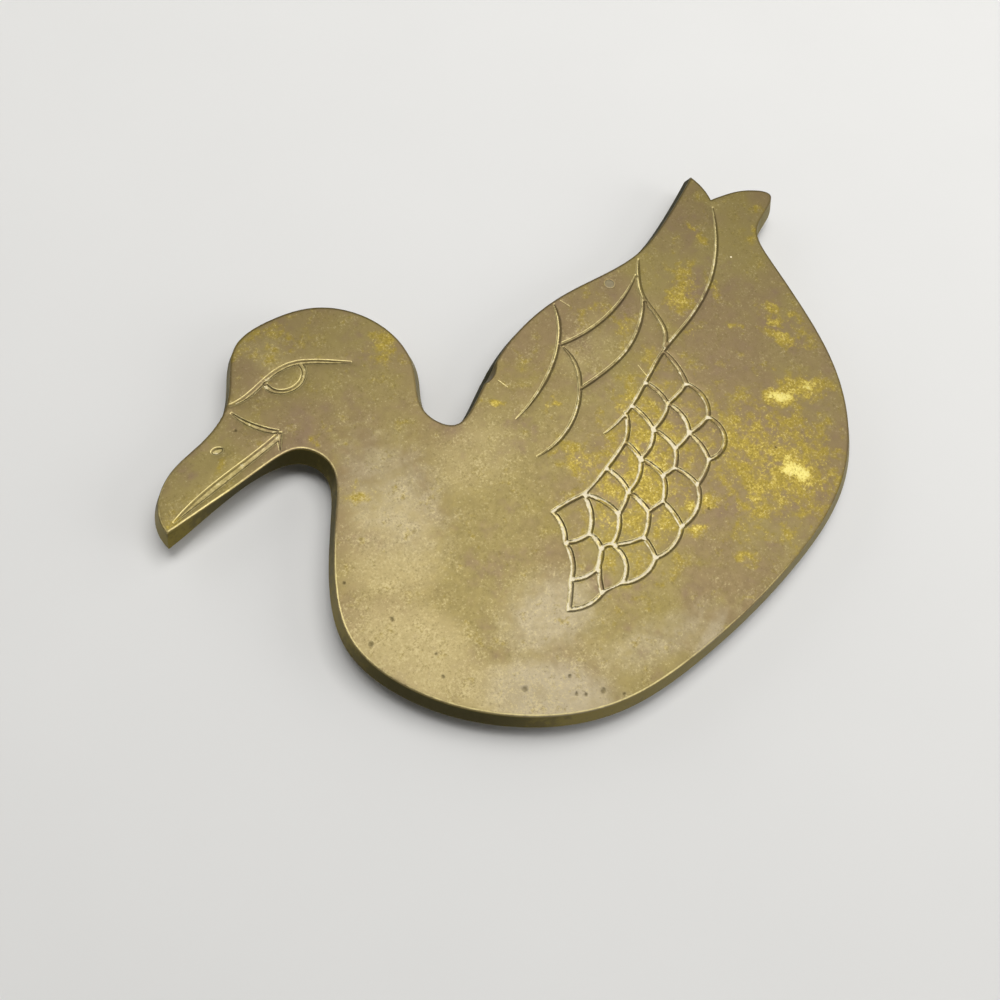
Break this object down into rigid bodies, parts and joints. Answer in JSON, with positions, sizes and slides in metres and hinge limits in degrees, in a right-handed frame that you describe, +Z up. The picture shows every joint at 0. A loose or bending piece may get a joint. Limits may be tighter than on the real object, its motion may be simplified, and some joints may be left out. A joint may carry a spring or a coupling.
{
  "type": "duck trivet",
  "caption": "Flat cast brass trivet in the outline of a swimming duck, its face engraved with eye, beak, wing feathers and scales, raised on short turned feet.",
  "frame": {"origin": "on the table, under the middle of the plate", "axes": "+X from the beak to the tail, +Y from the belly to the back, +Z up from the table through the engraved face"},
  "size_m": [0.2059, 0.1391, 0.01],
  "materials": {
    "patinated_cast_brass": "cast, filed and hand polished, since dulled to a brown and olive patina with rubbed bright patches",
    "turned_brass": "turned, dulled"
  },
  "bodies": {
    "root": {"duck_plate": "patinated_cast_brass", "back_foot": "turned_brass", "breast_foot": "turned_brass", "rump_foot": "turned_brass"}
  },
  "joints": []
}
